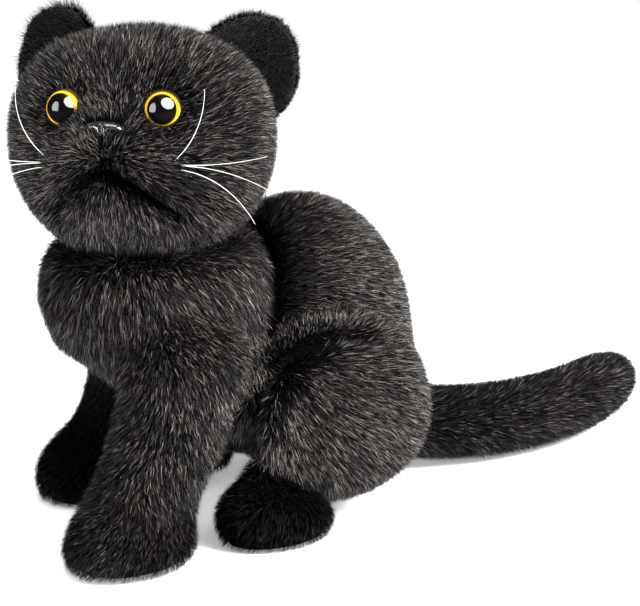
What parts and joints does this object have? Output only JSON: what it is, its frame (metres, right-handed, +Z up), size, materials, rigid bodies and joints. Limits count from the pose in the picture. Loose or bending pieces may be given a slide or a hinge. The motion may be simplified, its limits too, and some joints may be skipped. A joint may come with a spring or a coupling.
{
  "type": "plush cat",
  "caption": "Sitting long-pile plush cat with its head turned aside, safety eyes, bristle whiskers, soft-jointed head, front legs and tail.",
  "frame": {"origin": "middle of the footprint box (whiskers and tail included), on the surface the cat rests on", "axes": "+Z up; the body faces -Y with its tail towards +Y; +X is the side of the cat's left flank"},
  "size_m": [0.1508, 0.3408, 0.2113],
  "materials": {
    "fur_cloth": "long-pile faux fur, charcoal black",
    "velvet": "short-pile velvet, dark grey",
    "filling": "polyester fibre filling",
    "eye_clear": "clear polished plastic cap",
    "eye_gold": "golden yellow paint",
    "black_plastic": "glossy black",
    "washer": "moulded natural plastic",
    "bristle": "white nylon filament"
  },
  "bodies": {
    "torso": {"torso_left": "fur_cloth", "torso_right": "fur_cloth", "back_strip": "fur_cloth", "belly_strip": "fur_cloth", "torso_filling": "filling", "hind_left_haunch": "fur_cloth", "hind_left_filling": "filling", "hind_left_foot": "fur_cloth", "hind_left_sole": "fur_cloth", "hind_left_foot_filling": "filling", "hind_right_haunch": "fur_cloth", "hind_right_filling": "filling", "hind_right_foot": "fur_cloth", "hind_right_sole": "fur_cloth", "hind_right_foot_filling": "filling"},
    "head": {"head_left": "fur_cloth", "head_right": "fur_cloth", "head_gusset": "fur_cloth", "chin_panel": "fur_cloth", "head_filling": "filling", "eye_left_lens": "eye_clear", "eye_left_iris": "eye_gold", "eye_left_pupil": "black_plastic", "eye_left_back": "black_plastic", "eye_right_lens": "eye_clear", "eye_right_iris": "eye_gold", "eye_right_pupil": "black_plastic", "eye_right_back": "black_plastic", "eye_washers": "washer", "nose": "black_plastic", "nose_washer": "washer", "whiskers_left": "bristle", "whiskers_right": "bristle", "ear_left_back": "fur_cloth", "ear_left_front": "velvet", "ear_right_back": "fur_cloth", "ear_right_front": "velvet"},
    "front_left_leg": {"front_left_leg_outer": "fur_cloth", "front_left_leg_inner": "fur_cloth", "front_left_leg_sole": "fur_cloth", "front_left_leg_filling": "filling"},
    "front_right_leg": {"front_right_leg_outer": "fur_cloth", "front_right_leg_inner": "fur_cloth", "front_right_leg_sole": "fur_cloth", "front_right_leg_filling": "filling"},
    "tail": {"tail_upper": "fur_cloth", "tail_lower": "fur_cloth", "tail_filling": "filling"}
  },
  "joints": [
    {"name": "head_turn", "type": "hinge", "parent": "torso", "child": "head", "pos_m": [-0.00704, -0.08926, 0.1213], "axis": [0, 0, 1], "range_deg": [-20, 20]},
    {"name": "front_left_leg_swing", "type": "hinge", "parent": "torso", "child": "front_left_leg", "pos_m": [0.02546, -0.09366, 0.076], "axis": [1, 0, 0], "range_deg": [-15, 6]},
    {"name": "front_right_leg_swing", "type": "hinge", "parent": "torso", "child": "front_right_leg", "pos_m": [-0.03754, -0.07366, 0.076], "axis": [1, 0, 0], "range_deg": [-15, 4]},
    {"name": "tail_swing", "type": "hinge", "parent": "torso", "child": "tail", "pos_m": [-0.00554, 0.02934, 0.024], "axis": [0, 0, 1], "range_deg": [-18, 18]}
  ]
}
